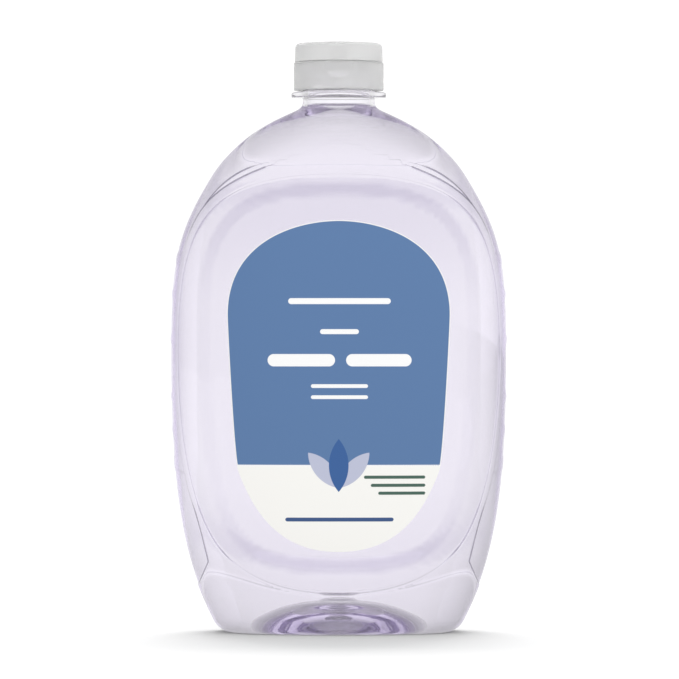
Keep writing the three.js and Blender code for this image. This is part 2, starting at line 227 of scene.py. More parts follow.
def lens(u, v, tip_a, tip_b, bulge_left, bulge_right):
    """Distance inside the shape between two arcs that share their tips; bulges are to the left
    and to the right of the line from tip a to tip b, and a negative one bends back across it."""
    tip_a, tip_b = np.array(tip_a, float), np.array(tip_b, float)
    half = np.linalg.norm(tip_b - tip_a) / 2
    left = np.array([tip_a[1] - tip_b[1], tip_b[0] - tip_a[0]]) / (2 * half)
    middle = (tip_a + tip_b) / 2
    insides = []
    for bulge, side in ((bulge_left, left), (bulge_right, -left)):
        radius = (half ** 2 + bulge ** 2) / (2 * abs(bulge))
        turn = math.copysign(1, bulge)
        centre = middle + side * (bulge - turn * radius)
        insides.append(turn * (radius - np.hypot(u - centre[0], v - centre[1])))
    return np.minimum(*insides)


def section(z):
    """Half width, half depth and squareness of the body at heights z."""
    roundness = smoothstep(z, SHOULDER_HEIGHT, NECK_BASE)
    power = BODY_POWER + (ROUND_POWER - BODY_POWER) * roundness
    return reach_at(FRONT_FLANK, z), reach_at(SIDE_FLANK, z), power


def even_angles():
    """Angles round the bottle that space points evenly along the body's section."""
    angle = np.linspace(0, np.pi / 2, 4001)
    x = BODY_HALF_WIDTH * np.cos(angle) ** (2 / BODY_POWER)
    y = BODY_HALF_DEPTH * np.sin(angle) ** (2 / BODY_POWER)
    length = np.concatenate([[0], np.cumsum(np.hypot(np.diff(x), np.diff(y)))])
    share = np.arange(AROUND // 4) / (AROUND // 4)
    quarter = np.interp(share * length[-1], length, angle)
    mirrored = np.pi - np.interp((1 - share) * length[-1], length, angle)
    return np.concatenate([quarter, mirrored, quarter + np.pi, mirrored + np.pi])


ANGLES = even_angles()


def ring(half_width, half_depth, z, power=ROUND_POWER):
    """One closed ring of points, anticlockwise from +X."""
    c, s = np.cos(ANGLES), np.sin(ANGLES)
    x = np.sign(c) * half_width * np.abs(c) ** (2 / power)
    y = np.sign(s) * half_depth * np.abs(s) ** (2 / power)
    return np.stack([x, y, np.full(len(ANGLES), float(z))], axis=1)


# ---- Mesh making
def new_piece(name, points, faces, material, sharp=50):
    """A smooth-shaded mesh object; points in millimetres. Edges over the sharp angle stay crisp."""
    mesh = bpy.data.meshes.new(name)
    mesh.from_pydata((np.asarray(points) * MM).tolist(), [], faces)
    mesh.validate()
    mesh.shade_smooth()
    mesh.set_sharp_from_angle(angle=math.radians(sharp))
    piece = bpy.data.objects.new(name, mesh)
    bpy.context.scene.collection.objects.link(piece)
    mesh.materials.append(material)
    return piece


def grid_faces(rows, around, closed=False):
    """Quads between rings, turned outwards when rings go up and their points run anticlockwise.
    A closed grid joins its last ring to its first."""
    faces = []
    for row in range(rows if closed else rows - 1):
        low, high = row * around, (row + 1) % rows * around
        for k in range(around):
            after = (k + 1) % around
            faces.append((low + k, low + after, high + after, high + k))
    return faces


def loft(name, rings, material, start, end, sharp=50):
    """A closed solid through rings, from one pole to the other."""
    around = len(rings[0])
    points = np.vstack([np.vstack(rings), [start, end]])
    faces = grid_faces(len(rings), around)
    first, last = len(points) - 2, len(points) - 1
    top = (len(rings) - 1) * around
    for k in range(around):
        after = (k + 1) % around
        faces.append((first, after, k))
        faces.append((top + k, top + after, last))
    return new_piece(name, points, faces, material, sharp)


def fillet(start, corner, end, steps):
    """Rings that turn smoothly from one ring to another round a corner ring; the first is left out."""
    parts = np.linspace(0, 1, steps + 1)[1:]
    return [(1 - t) ** 2 * start + 2 * t * (1 - t) * corner + t ** 2 * end for t in parts]


def rounded(corners, steps=4):
    """A profile of (radius, height, rounding) corners, each rounded where it says so."""
    profile = []
    for i, (radius, height, rounding) in enumerate(corners):
        here = np.array([radius, height], float)
        if not rounding or i in (0, len(corners) - 1):
            profile.append(here)
            continue
        before = np.array(corners[i - 1][:2], float) - here
        after = np.array(corners[i + 1][:2], float) - here
        start = here + before / np.linalg.norm(before) * rounding
        end = here + after / np.linalg.norm(after) * rounding
        profile.append(start)
        profile += fillet(start, here, end, steps)
    return profile


def even_profile(profile, spacing):
    """Adds points to a profile so that none are further apart than the spacing."""
    result = [np.array(profile[0], float)]
    for start, end in zip(profile, profile[1:]):
        start, end = np.array(start, float), np.array(end, float)
        count = max(1, math.ceil(np.linalg.norm(end - start) / spacing))
        result += [start + (end - start) * k / count for k in range(1, count + 1)]
    return result


def circles(profile, around=None):
    """Rings of a turned shape from its profile of (radius, height)."""
    if around is None:
        return [ring(radius, radius, z) for radius, z in profile]
    angle = np.linspace(0, 2 * np.pi, around, endpoint=False)
    return [np.stack([r * np.cos(angle), r * np.sin(angle), np.full(around, z)], 1) for r, z in profile]


# ---- Materials
def linear(hex_colour):
    """Linear RGBA from an sRGB hex colour."""
    channels = [int(hex_colour[k:k + 2], 16) / 255 for k in (1, 3, 5)]
    return [c / 12.92 if c <= 0.04045 else ((c + 0.055) / 1.055) ** 2.4 for c in channels] + [1]


def add_node(tree, kind, settings=None, links=None, **values):
    """Adds a node; settings are its options, values its unlinked inputs, links input: output."""
    node = tree.nodes.new(kind)
    for name, value in (settings or {}).items():
        setattr(node, name, value)
    for name, value in values.items():
        key = int(name[1:]) if name[0] == "_" else name.replace("_", " ")
        node.inputs[key].default_value = value
    for key, output in (links or {}).items():
        tree.links.new(output, node.inputs[key])
    return node


def new_material(name):
    """A material with an empty node tree and its output node."""
    material = bpy.data.materials.new(name)
    material.use_nodes = True
    material.node_tree.nodes.clear()
    return material, material.node_tree, add_node(material.node_tree, "ShaderNodeOutputMaterial")


PET_COLOUR = "#fbfafd"
PAINTED_SHADE_COLOUR = "#d3cfde"  # painted shade: on the slanted edge round the panel, down the outermost sides and over the push-up
# Painted shade along the mould's crisp folds: the frame's edge, the grip's edge and the groove under
# the grip
PAINTED_CREASE_SHADES = (("frame_edge", "#a9a4b8"), ("grip_edge", "#5f5a70"), ("brow_edge", "#5f5a70"))
CREASE_FADE = (0.5, 0.05)  # the painted shade along a crease darkens between these distances from it
BLOWN_WAVE = 18  # length of the waves that blowing leaves


def clear_pet():
    """PET, stretch-blown: glossy and almost colourless, with faint long waves from the blowing.
    Its colour carries painted shade along the mould's sharp folds, and a paler painted shade on the
    slanted edge round the panel, down the outermost sides and over the push-up."""
    material, tree, output = new_material("clear_blown_pet")
    place = add_node(tree, "ShaderNodeTexCoord").outputs["Object"]
    colour = None
    # painted shade along each fold
    for mark, shade in PAINTED_CREASE_SHADES:
        distance = add_node(tree, "ShaderNodeAttribute", {"attribute_name": mark}).outputs["Fac"]
        away = add_node(tree, "ShaderNodeMath", {"operation": "ABSOLUTE"}, {0: distance})
        near = add_node(tree, "ShaderNodeMapRange", {"interpolation_type": "SMOOTHSTEP"},
                        {"Value": away.outputs[0]}, From_Min=CREASE_FADE[0], From_Max=CREASE_FADE[1])
        mix = add_node(tree, "ShaderNodeMix", {"data_type": "RGBA"}, {0: near.outputs["Result"]},
                       _6=linear(PET_COLOUR), _7=linear(shade))
        if colour:
            tree.links.new(colour, mix.inputs[6])
        colour = mix.outputs[2]
    # painted shade on the slanted edge round the panel, the outermost sides and the push-up
    painted_shade = add_node(tree, "ShaderNodeAttribute", {"attribute_name": "painted_shade"}).outputs["Fac"]
    mix = add_node(tree, "ShaderNodeMix", {"data_type": "RGBA"}, {0: painted_shade, 6: colour},
                   _7=linear(PAINTED_SHADE_COLOUR))
    waves = add_node(tree, "ShaderNodeTexNoise", links={"Vector": place},
                     Scale=1 / (BLOWN_WAVE * MM), Detail=1.0)
    bump = add_node(tree, "ShaderNodeBump", links={"Height": waves.outputs["Fac"]},
                    Strength=0.3, Distance=0.12 * MM)
    pet = add_node(tree, "ShaderNodeBsdfPrincipled",
                   links={"Normal": bump.outputs["Normal"], "Base Color": mix.outputs[2]},
                   Roughness=0.01, IOR=1.5, Transmission_Weight=1.0)
    tree.links.new(pet.outputs["BSDF"], output.inputs["Surface"])
    return material


# Linear. What it lacks of white, times the density, is absorbed per metre
SOAP_TINT = (0.935, 0.915, 0.965, 1)
SOAP_DENSITY = 20.0


def lavender_soap():
    """Liquid soap, clear and faintly violet: seen by what it takes out of the light."""
    material, tree, output = new_material("lavender_liquid_soap")
    soap = add_node(tree, "ShaderNodeBsdfPrincipled", Base_Color=(1, 1, 1, 1), Roughness=0.0,
                    IOR=1.37, Transmission_Weight=1.0)
    tint = add_node(tree, "ShaderNodeVolumeAbsorption", Color=SOAP_TINT, Density=SOAP_DENSITY)
    tree.links.new(soap.outputs["BSDF"], output.inputs["Surface"])
    tree.links.new(tint.outputs["Volume"], output.inputs["Volume"])
    return material


PP_COLOUR = "#fefefe"
PP_MILK = 0.42  # share of the light that the milkiness scatters
PP_FORTH = 0.15  # share of that which is scattered onwards
PP_GRAIN = 0.6  # size of the grain as drawn; a polished mould's is finer


def natural_pp(name):
    """Polypropylene, injection moulded and left uncoloured. It is milky: some light goes through
    almost straight, and the rest is scattered both ways."""
    material, tree, output = new_material(name)
    place = add_node(tree, "ShaderNodeTexCoord").outputs["Object"]
    grain = add_node(tree, "ShaderNodeTexNoise", links={"Vector": place},
                     Scale=1 / (PP_GRAIN * MM), Detail=3.0)
    bump = add_node(tree, "ShaderNodeBump", links={"Height": grain.outputs["Fac"]},
                    Strength=0.25, Distance=0.03 * MM)
    clear = add_node(tree, "ShaderNodeBsdfPrincipled", links={"Normal": bump.outputs["Normal"]},
                     Base_Color=linear(PP_COLOUR), Roughness=0.12, IOR=1.49, Transmission_Weight=0.97)
    back = add_node(tree, "ShaderNodeBsdfDiffuse", Color=linear(PP_COLOUR))
    forth = add_node(tree, "ShaderNodeBsdfTranslucent", Color=linear(PP_COLOUR))
    milk = add_node(tree, "ShaderNodeMixShader",
                    links={1: back.outputs[0], 2: forth.outputs[0]}, _0=PP_FORTH)
    pp = add_node(tree, "ShaderNodeMixShader",
                  links={1: clear.outputs[0], 2: milk.outputs[0]}, _0=PP_MILK)
    tree.links.new(pp.outputs[0], output.inputs["Surface"])
    return material


FILM_COLOUR = "#f9f8f4"
# In the order in which they cover each other
INKS = {
    "blue": "#5377a6", "white_border": "#fbfafa", "white_ink": "#fbfbfb", "pale_leaf": "#bdc1d7",
    "dark_leaf": "#285a99", "dark_ink": "#2f4f83", "green_ink": "#3e5f52",
}
INK_EDGE = 0.12  # half the width over which an ink's edge blurs
FILM_TOOTH = 0.5  # size of the tooth as drawn; real film's is finer


def printed_film(name):
    """Polypropylene film, reverse printed and laminated: satin, with a very fine tooth."""
    material, tree, output = new_material(name)
    place = add_node(tree, "ShaderNodeTexCoord").outputs["Object"]
    colour = None
    for ink, shade in INKS.items():
        shape = add_node(tree, "ShaderNodeAttribute", {"attribute_name": ink}).outputs["Fac"]
        cover = add_node(tree, "ShaderNodeMapRange", {"interpolation_type": "SMOOTHSTEP"},
                         {"Value": shape}, From_Min=-INK_EDGE, From_Max=INK_EDGE)
        mix = add_node(tree, "ShaderNodeMix", {"data_type": "RGBA"}, {0: cover.outputs["Result"]},
                       _6=linear(FILM_COLOUR), _7=linear(shade))
        if colour:
            tree.links.new(colour, mix.inputs[6])
        colour = mix.outputs[2]
    tooth = add_node(tree, "ShaderNodeTexNoise", links={"Vector": place},
                     Scale=1 / (FILM_TOOTH * MM), Detail=2.0)
    bump = add_node(tree, "ShaderNodeBump", links={"Height": tooth.outputs["Fac"]},
                    Strength=0.2, Distance=0.01 * MM)
    film = add_node(tree, "ShaderNodeBsdfPrincipled",
                    links={"Base Color": colour, "Normal": bump.outputs["Normal"]},
                    Roughness=0.38, IOR=1.49)
    tree.links.new(film.outputs["BSDF"], output.inputs["Surface"])
    return material


PAINTED_FILM_GLOW = 0.28  # a painted glow that stands for the light that comes through the film
ADHESIVE_MOTTLE = 5  # size of the mottled patches


def adhesive_side():
    """Acrylic adhesive on white film, wetted to the wall: matt white from behind, with a painted glow
    that stands for the little of the light falling on the printed side that comes through it."""
    material, tree, output = new_material("white_film_adhesive_side")
    place = add_node(tree, "ShaderNodeTexCoord").outputs["Object"]
    mottle = add_node(tree, "ShaderNodeTexNoise", links={"Vector": place},
                      Scale=1 / (ADHESIVE_MOTTLE * MM), Detail=2.0)
    white = add_node(tree, "ShaderNodeMix", {"data_type": "RGBA"}, {0: mottle.outputs["Fac"]},
                     _6=linear("#e9e8ea"), _7=linear("#f3f2f4"))
    # its emission is the painted glow
    film = add_node(tree, "ShaderNodeBsdfPrincipled", links={"Base Color": white.outputs[2]},
                    Roughness=0.7, IOR=1.47, Emission_Color=linear("#f3f2f4"),
                    Emission_Strength=PAINTED_FILM_GLOW)
    tree.links.new(film.outputs["BSDF"], output.inputs["Surface"])
    return material


PET = clear_pet()
SOAP = lavender_soap()
CAP_PP = natural_pp("natural_moulded_pp")
LID_PP = natural_pp("natural_moulded_pp_lid")
FRONT_FILM = printed_film("printed_front_film")
BACK_FILM = printed_film("printed_back_film")
ADHESIVE = adhesive_side()


# ---- Bottle: one closed shell, from the middle of the base up the outside, over the rim and back
def ramp(value, width):
    """A slanted step about zero with lightly rounded ends, from 0 to 1."""
    t = value / width + 0.5
    return (smoothstep(t, -0.12, 1.12) + 2 * np.clip(t, 0, 1)) / 3


def crisp_lines(x, z):
    """Distance to the frame's edge, to the grip's edge and to the groove under the grip;
    positive inside the frame or grip and above the groove."""
    across = np.abs(x)
    return -outside(FRAME_OUTLINE, x, z), beyond(GRIP_LINE, across, z), beyond(BROW_LINE, across, z)


def scallop(x, y, z):
    """Distance inside the nearest finger scallop on the grip."""
    inside = np.full(np.shape(x), -float(FAR_FROM_FOLDS))
    for high, low in SCALLOPS:
        middle, half = (high + low) / 2, (high - low) / 2
        reach = (np.abs(y) / SCALLOP_HALF_DEPTH) ** 3 + (np.abs(z - middle) / half) ** 3
        inside = np.maximum(inside, (1 - reach ** (1 / 3)) * half)
    return np.where(np.abs(x) > SCALLOP_REACH, inside, -FAR_FROM_FOLDS)


def relief(points, step=CRISP_STEP):
    """How deep the mould lets each point of the plain oval body in."""
    x, y, z = np.moveaxis(points, -1, 0)
    in_frame, in_grip, from_brow = crisp_lines(x, z)
    depth = FRAME_DEPTH * ramp(in_frame, step)
    depth = depth + BROW_DEPTH * (1 - smoothstep(np.abs(from_brow), 0.2 * step, 0.8 * step))
    depth = depth + (PANEL_DEPTH - FRAME_DEPTH) * ramp(-outside(PANEL_OUTLINE, x, z), PANEL_STEP)
    hollow = ramp(scallop(x, y, z) - SCALLOP_STEP / 2, SCALLOP_STEP)
    grip = (GRIP_DEPTH - SCALLOP_DEPTH) + SCALLOP_DEPTH * hollow
    grip = np.where((z < SCALLOPED[0]) | (z > SCALLOPED[1]), GRIP_DEPTH, grip)
    return depth + grip * ramp(in_grip, step) * smoothstep(np.abs(x), *GRIP_FADE)


# A distance to a fold is scaled up where the line is faint: down the flanks, towards the middle
# for the frame, and where the grip runs out
FLANK_LOW, FLANK_HIGH = (50, 60), (150, 168)
FRAME_FADE = (33, 48)
FRAME_FAINT, FRAME_FLANK_FAINT = 8, 3
GRIP_FAINT, GRIP_FLANK_FAINT = 6, 8
# How much painted shade the wall's colour takes: on the slanted edge round the panel, more so high up
# and low down, on the upper part of the panel itself, down the outermost sides and over most of the
# push-up
SLANT_SHADE, OVER_SHADE, UNDER_SHADE, PANEL_SHADE = 0.2, 0.6, 0.5, 0.3
OVER_LABEL, UNDER_LABEL = (130, 175), (30, 60)
SIDE_SHADE = 0.5
SIDE_REACH, SIDE_LOW, SIDE_HIGH = (61, 67.5), (20, 60), (150, 175)
BASE_SHADE, BASE_SHADE_RINGS = 0.7, 24


def creases(points):
    """Signed distances to the mould's folds, larger where a fold runs out, and how much painted shade
    the wall takes, from 0 to 1."""
    x, z = points[..., 0], points[..., 2]
    in_frame, in_grip, from_brow = crisp_lines(x, z)
    across = np.abs(x)
    flank = smoothstep(z, *FLANK_LOW) * (1 - smoothstep(z, *FLANK_HIGH))
    inner_frame = 1 - smoothstep(across, *FRAME_FADE)
    inner_grip = 1 - smoothstep(across, GRIP_FADE[0] - 1, GRIP_FADE[0] + 6)
    frame_edge = in_frame * (1 + FRAME_FAINT * inner_frame + FRAME_FLANK_FAINT * flank)
    grip_edge = in_grip * (1 + GRIP_FAINT * inner_grip + GRIP_FLANK_FAINT * flank)
    step = ramp(-outside(PANEL_OUTLINE, x, z), PANEL_STEP)
    above, below = smoothstep(z, *OVER_LABEL), 1 - smoothstep(z, *UNDER_LABEL)
    shading = SLANT_SHADE + OVER_SHADE * above + UNDER_SHADE * below
    painted_shade = np.minimum(7 * step * (1 - step), 1) * shading
    sides = SIDE_SHADE * smoothstep(across, *SIDE_REACH)
    sides = sides * smoothstep(z, *SIDE_LOW) * (1 - smoothstep(z, *SIDE_HIGH))
    painted_shade = np.maximum.reduce([painted_shade, sides, PANEL_SHADE * above * step])
    return {"frame_edge": frame_edge, "grip_edge": grip_edge, "brow_edge": from_brow, "painted_shade": painted_shade}


def base_rings():
    """The push-up, the flat standing ring and the heel."""
    rings = []
    for part in np.linspace(0.02, 1, PUNT_RINGS):
        oval = smoothstep(part, *PUNT_OVAL)
        width = FOOT_INNER[0] * part
        depth = width * (1 + (FOOT_INNER[1] / FOOT_INNER[0] - 1) * oval)
        power = ROUND_POWER + (BASE_POWER - ROUND_POWER) * oval
        dome = PUNT_HEIGHT * (1 - part ** PUNT_FULLNESS)
        gate = GATE_HEIGHT * (1 - smoothstep(width, GATE_RADIUS * 0.8, GATE_RADIUS * 1.15))
        rings.append(ring(width, depth, dome + gate, power))
    middle = [(a + b) / 2 for a, b in zip(FOOT_INNER, FOOT_OUTER)]
    rings.append(ring(*middle, 0, BASE_POWER))
    for part in np.linspace(0, 1, HEEL_RINGS, endpoint=False):
        row = round(part * (len(FRONT_HEEL) - 1))
        power = BASE_POWER + (BODY_POWER - BASE_POWER) * part
        rings.append(ring(FRONT_HEEL[row, 0], SIDE_HEEL[row, 0], FRONT_HEEL[row, 1], power))
    return rings


BODY_HEIGHTS = np.linspace(HEEL_HEIGHT, NECK_BASE - SHOULDER_GAP, BODY_RINGS)


def body_rings():
    return [ring(*section(z)[:2], z, section(z)[2]) for z in BODY_HEIGHTS]


def normals(grid):
    """Outward normals of a grid of rings that go up the outside."""
    around = np.roll(grid, -1, axis=1) - np.roll(grid, 1, axis=1)
    up = np.gradient(grid, axis=0)
    cross = np.cross(around, up)
    return cross / np.linalg.norm(cross, axis=-1, keepdims=True)


def wall_at(z):
    """Wall thickness: blown thin on the body, thicker in the base and towards the neck."""
    neck = NECK_ROOT_RADIUS - BORE_RADIUS
    thick = WALL + (BASE_WALL - WALL) * (1 - smoothstep(z, *BASE_WALL_RISE))
    return thick + (neck - WALL) * smoothstep(z, NECK_WALL_START, NECK_BASE)


FOOT_RINGS = base_rings()
PLAIN = np.array(FOOT_RINGS + body_rings())
OUTWARD = normals(PLAIN)
INNER = PLAIN - OUTWARD * (relief(PLAIN, SOFT_STEP) + wall_at(PLAIN[..., 2]))[..., None]


def finer_body():
    """The outside of the body: its grid is halved and halved again along the crisp lines."""
    bm = bmesh.new()
    first = len(FOOT_RINGS)
    column = 2 * np.pi * np.arange(AROUND) / AROUND
    verts = [[bm.verts.new((math.cos(a), math.sin(a), row)) for a in column]
             for row in range(first - 1, len(PLAIN))]
    for low, high in zip(verts, verts[1:]):
        for k in range(AROUND):
            after = (k + 1) % AROUND
            bm.faces.new((low[k], low[after], high[after], high[k]))
    for near in FINER_WITHIN:
        places = body_places(np.array([f.calc_center_median() for f in bm.faces]))[0]
        frame_line, grip_line, brow_line = crisp_lines(places[:, 0], places[:, 2])
        grip_line = np.where(np.abs(places[:, 0]) > GRIP_FADE[0] - 2, grip_line, FAR_FROM_FOLDS)
        close = np.abs([frame_line, grip_line, brow_line]).min(axis=0) < near
        edges = {e for f, chosen in zip(bm.faces, close) if chosen for e in f.edges
                 if min(v.co.z for v in e.verts) >= first}
        bmesh.ops.subdivide_edges(bm, edges=list(edges), cuts=1, use_grid_fill=True)
    bm.verts.index_update()
    flat = np.array([v.co for v in bm.verts])
    faces = [[v.index for v in f.verts] for f in bm.faces]
    bm.free()
    return flat, faces


def body_places(flat):
    """Plain place and outward normal for points of the rolled-out body: (cos, sin, row)."""
    turn = np.arctan2(flat[:, 1], flat[:, 0]) / (2 * np.pi) * AROUND % AROUND
    turn = np.where(AROUND - turn < 1e-4, 0, turn)
    row = np.clip(flat[:, 2], 0, len(PLAIN) - 1)
    k = np.floor(turn + 1e-4).astype(int) % AROUND
    r = np.minimum(np.floor(row), len(PLAIN) - 2).astype(int)
    s, t = np.clip(turn - k, 0, 1)[:, None], (row - r)[:, None]
    after = (k + 1) % AROUND
    outward = ((OUTWARD[r, k] * (1 - s) + OUTWARD[r, after] * s) * (1 - t)
               + (OUTWARD[r + 1, k] * (1 - s) + OUTWARD[r + 1, after] * s) * t)
    outward /= np.linalg.norm(outward, axis=-1, keepdims=True)
    wide = np.append(ANGLES, ANGLES[0] + 2 * np.pi)
    angle = wide[k] * (1 - s[:, 0]) + wide[k + 1] * s[:, 0]
    z = PLAIN[r, 0, 2] * (1 - t[:, 0]) + PLAIN[r + 1, 0, 2] * t[:, 0]
    half_width, half_depth, power = section(z)
    c, n = np.cos(angle), np.sin(angle)
    x = np.sign(c) * half_width * np.abs(c) ** (2 / power)
    y = np.sign(n) * half_depth * np.abs(n) ** (2 / power)
    exact = np.stack([x, y, z], -1)
    return np.where(row[:, None] >= len(FOOT_RINGS), exact, PLAIN[r, k]), outward


def threaded_rings(low, high, count=36):
    """The neck's outside, with its right-hand screw thread."""
    turned = (ANGLES - THREAD_FRONT) / (2 * np.pi)
    rings = []
    for z in np.linspace(low, high, count):
        nearest = np.round((z - THREAD_START) / THREAD_PITCH - turned)
        along = nearest + turned
        apart = np.abs(z - THREAD_START - along * THREAD_PITCH)
        begun = smoothstep(along, -THREAD_FADE, 0)
        ended = smoothstep(along, THREAD_TURNS, THREAD_TURNS + THREAD_FADE)
        crest = 1 - smoothstep(apart, *THREAD_FLANK)
        radius = NECK_RADIUS + THREAD_HEIGHT * begun * (1 - ended) * crest
        x, y = radius * np.cos(ANGLES), radius * np.sin(ANGLES)
        rings.append(np.stack([x, y, np.full(AROUND, z)], 1))
    return rings


def neck_rings():
    """Outside of the neck with its support ring and thread, over the rim and down the bore."""
    support = rounded([
        (NECK_RADIUS, RING_LOW - 1.2, 0), (NECK_RADIUS, RING_LOW, 0.5),
        (RING_RADIUS, RING_LOW, 0.4), (RING_RADIUS, RING_HIGH, 0.4),
        (NECK_RADIUS, RING_HIGH, 0.4), (NECK_RADIUS, RING_HIGH + 0.7, 0)])
    rim = rounded([
        (NECK_RADIUS, RIM_HEIGHT - 0.7, 0), (NECK_RADIUS, RIM_HEIGHT, 0.4),
        (BORE_RADIUS, RIM_HEIGHT, 0.4), (BORE_RADIUS, RIM_HEIGHT - 1, 0)])
    bore = [(BORE_RADIUS, z) for z in np.linspace(RIM_HEIGHT - 3, NECK_BASE + 1.5, 7)]
    root = ring(NECK_ROOT_RADIUS, NECK_ROOT_RADIUS, NECK_BASE)
    neck_foot = ring(NECK_RADIUS, NECK_RADIUS, NECK_BASE + 1.6)
    mouth_root = ring(BORE_RADIUS, BORE_RADIUS, NECK_BASE - 0.6)
    bore_foot = ring(BORE_RADIUS, BORE_RADIUS, NECK_BASE + 1)
    return [
        *fillet(PLAIN[-1], root, neck_foot, 5), *circles(support),
        *threaded_rings(RING_HIGH + 0.75, RIM_HEIGHT - 0.75), *circles(rim), *circles(bore),
        bore_foot, *fillet(bore_foot, mouth_root, INNER[-1], 5)]


def bottle_shell():
    """One closed shell: push-up and heel, finer body, neck and bore, then the inner skin."""
    flat, faces = finer_body()
    plain, outward = body_places(flat)
    body = plain - outward * relief(plain)[:, None]
    edge = len(FOOT_RINGS) - 1
    foot = PLAIN[:edge]
    rest = np.array([*neck_rings(), *INNER[-2::-1]])
    points = [body, foot.reshape(-1, 3), rest.reshape(-1, 3)]
    at_foot, at_rest = len(body), len(body) + foot.size // 3
    last_row = AROUND * (len(PLAIN) - 1 - edge)
    faces += [tuple(i + at_foot for i in face) for face in grid_faces(len(foot), AROUND)]
    faces += [tuple(i + at_rest for i in face) for face in grid_faces(len(rest), AROUND)]
    faces += strip(at_foot + (len(foot) - 1) * AROUND, 0) + strip(last_row, at_rest)
    poles = len(body) + foot.size // 3 + rest.size // 3
    points += [foot[0].mean(0)[None], rest[-1].mean(0)[None]]
    top = at_rest + (len(rest) - 1) * AROUND
    for k in range(AROUND):
        after = (k + 1) % AROUND
        faces.append((poles, at_foot + after, at_foot + k))
        faces.append((top + k, top + after, poles + 1))
    piece = new_piece("bottle_shell", np.vstack(points), faces, PET, 40)
    total = len(piece.data.vertices)
    for mark, value in creases(plain).items():
        attribute = piece.data.attributes.new(mark, "FLOAT", "POINT")
        filled = np.full(total, 0.0 if mark == "painted_shade" else FAR_FROM_FOLDS, np.float32)
        filled[:len(value)] = value
        # painted shade over most of the push-up
        if mark == "painted_shade":
            filled[at_foot:at_foot + AROUND * BASE_SHADE_RINGS] = BASE_SHADE
        attribute.data.foreach_set("value", filled)
    return piece


def strip(low, high):
    """Quads between two rings of the bottle that start at these points."""
    after = [(k + 1) % AROUND for k in range(AROUND)]
    return [(low + k, low + a, high + a, high + k) for k, a in enumerate(after)]


def soap_fill():
    """The soap wets the whole inside, up to a slightly dished surface at the foot of the neck."""
    skin = INNER + OUTWARD * WET_OVERLAP
    reach = BORE_RADIUS + WET_OVERLAP
    top = []
    for part in (1, 0.97, 0.93, 0.87, 0.75, 0.5, 0.2):
        dip = 2 * MENISCUS * (1 - smoothstep(part, 0.7, 1.0))
        top.append(ring(reach * part, reach * part, NECK_BASE + MENISCUS - dip))
    rise = fillet(skin[-2], ring(reach, reach, NECK_BASE - 1), top[0], 4)[:-1]
    rings = [*skin[:-1], *rise, *top]
    return loft("soap_fill", rings, SOAP, skin[0].mean(0), (0, 0, NECK_BASE - MENISCUS), 60)


# ---- Labels
def label_surface(x, z, depth):
    """Points on the front panel at x and height z, a depth below the plain oval body."""
    def reach(across, height):
        half_width, half_depth, power = section(height)
        return half_depth * (1 - np.minimum(np.abs(across) / half_width, 1) ** power) ** (1 / power)
    y = reach(x, z)
    step = 0.05
    slope_x = (reach(x + step, z) - reach(x - step, z)) / (2 * step)
    slope_z = (reach(x, z + step) - reach(x, z - step)) / (2 * step)
    outward = np.stack([-slope_x, np.ones_like(y), -slope_z], -1)
    outward /= np.linalg.norm(outward, axis=-1, keepdims=True)
    points = np.stack([x, y, z], -1) - outward * depth
    return points * (1, -1, 1)


def label_edge(count=512):
    """The label's whole outline from its bottom middle, anticlockwise as seen, evenly spaced."""
    half = LABEL_OUTLINE
    whole = np.vstack([half, half[-2:0:-1] * (-1, 1)])
    closed = np.vstack([whole, whole[:1]])
    length = np.concatenate([[0], np.cumsum(np.hypot(*np.diff(closed, axis=0).T))])
    at = np.arange(count) / count * length[-1]
    return np.stack([np.interp(at, length, closed[:, 0]), np.interp(at, length, closed[:, 1])], 1)


def bar(u, v, left, right, height, thick):
    """Distance inside a bar with round ends."""
    middle, half = (left + right) / 2, (right - left) / 2 - thick / 2
    return thick / 2 - np.hypot(np.maximum(np.abs(u - middle) - half, 0), v - height)


def either(*shapes):
    return np.maximum.reduce(shapes)


LABEL_BORDER = 0.35  # white left along the label's edge
FIELD_LOW = 69.1  # where the blue field ends on the front label
BACK_FIELD_LOW = 138


def front_inks(u, v, edge):
    """What is printed where: distance inside each ink's shapes, by place on the label."""
    leaves = either(lens(u, v, (0.5, 60), (-12.5, 74.5), 3.6, 3.6),
                    lens(u, v, (-0.5, 60), (12.5, 74.5), 3.6, 3.6))
    return {
        "blue": np.minimum(edge - LABEL_BORDER, v - FIELD_LOW),
        "white_border": np.minimum(0.4 - np.abs(v - FIELD_LOW), edge),
        "white_ink": either(
            bar(u, v, -20.6, 21.2, 136, 2.4), bar(u, v, -7.6, 8.2, 123.6, 2),
            bar(u, v, -29, -1.5, 112, 5), bar(u, v, 3, 29.7, 112, 5),
            bar(u, v, -11.3, 11.9, 101.5, 1.5), bar(u, v, -11.3, 11.9, 97, 1.5)),
        "pale_leaf": leaves,
        "dark_leaf": lens(u, v, (0, 58.5), (0, 80), 4, 4),
        "dark_ink": bar(u, v, -21.8, 22.4, 47.3, 1.6),
        "green_ink": either(
            bar(u, v, 10.2, 35.4, 64.5, 1.3), bar(u, v, 13, 35.4, 61.2, 1.3),
            bar(u, v, 16, 35.4, 58, 1.3)),
    }


def back_inks(u, v, edge):
    """Plain small lines on a white field, under a blue head."""
    lines = [bar(u, v, -28, 28, height, 1.1) for height in np.arange(70, 128, 4)]
    nowhere = np.full(len(edge), -1.0)
    return {
        "blue": np.minimum(edge - LABEL_BORDER, v - BACK_FIELD_LOW),
        "white_border": nowhere,
        "white_ink": bar(u, v, -16, 16, 144, 2),
        "pale_leaf": nowhere,
        "dark_leaf": nowhere,
        "dark_ink": either(*lines),
        "green_ink": bar(u, v, -20, 20, 62, 1.1),
    }


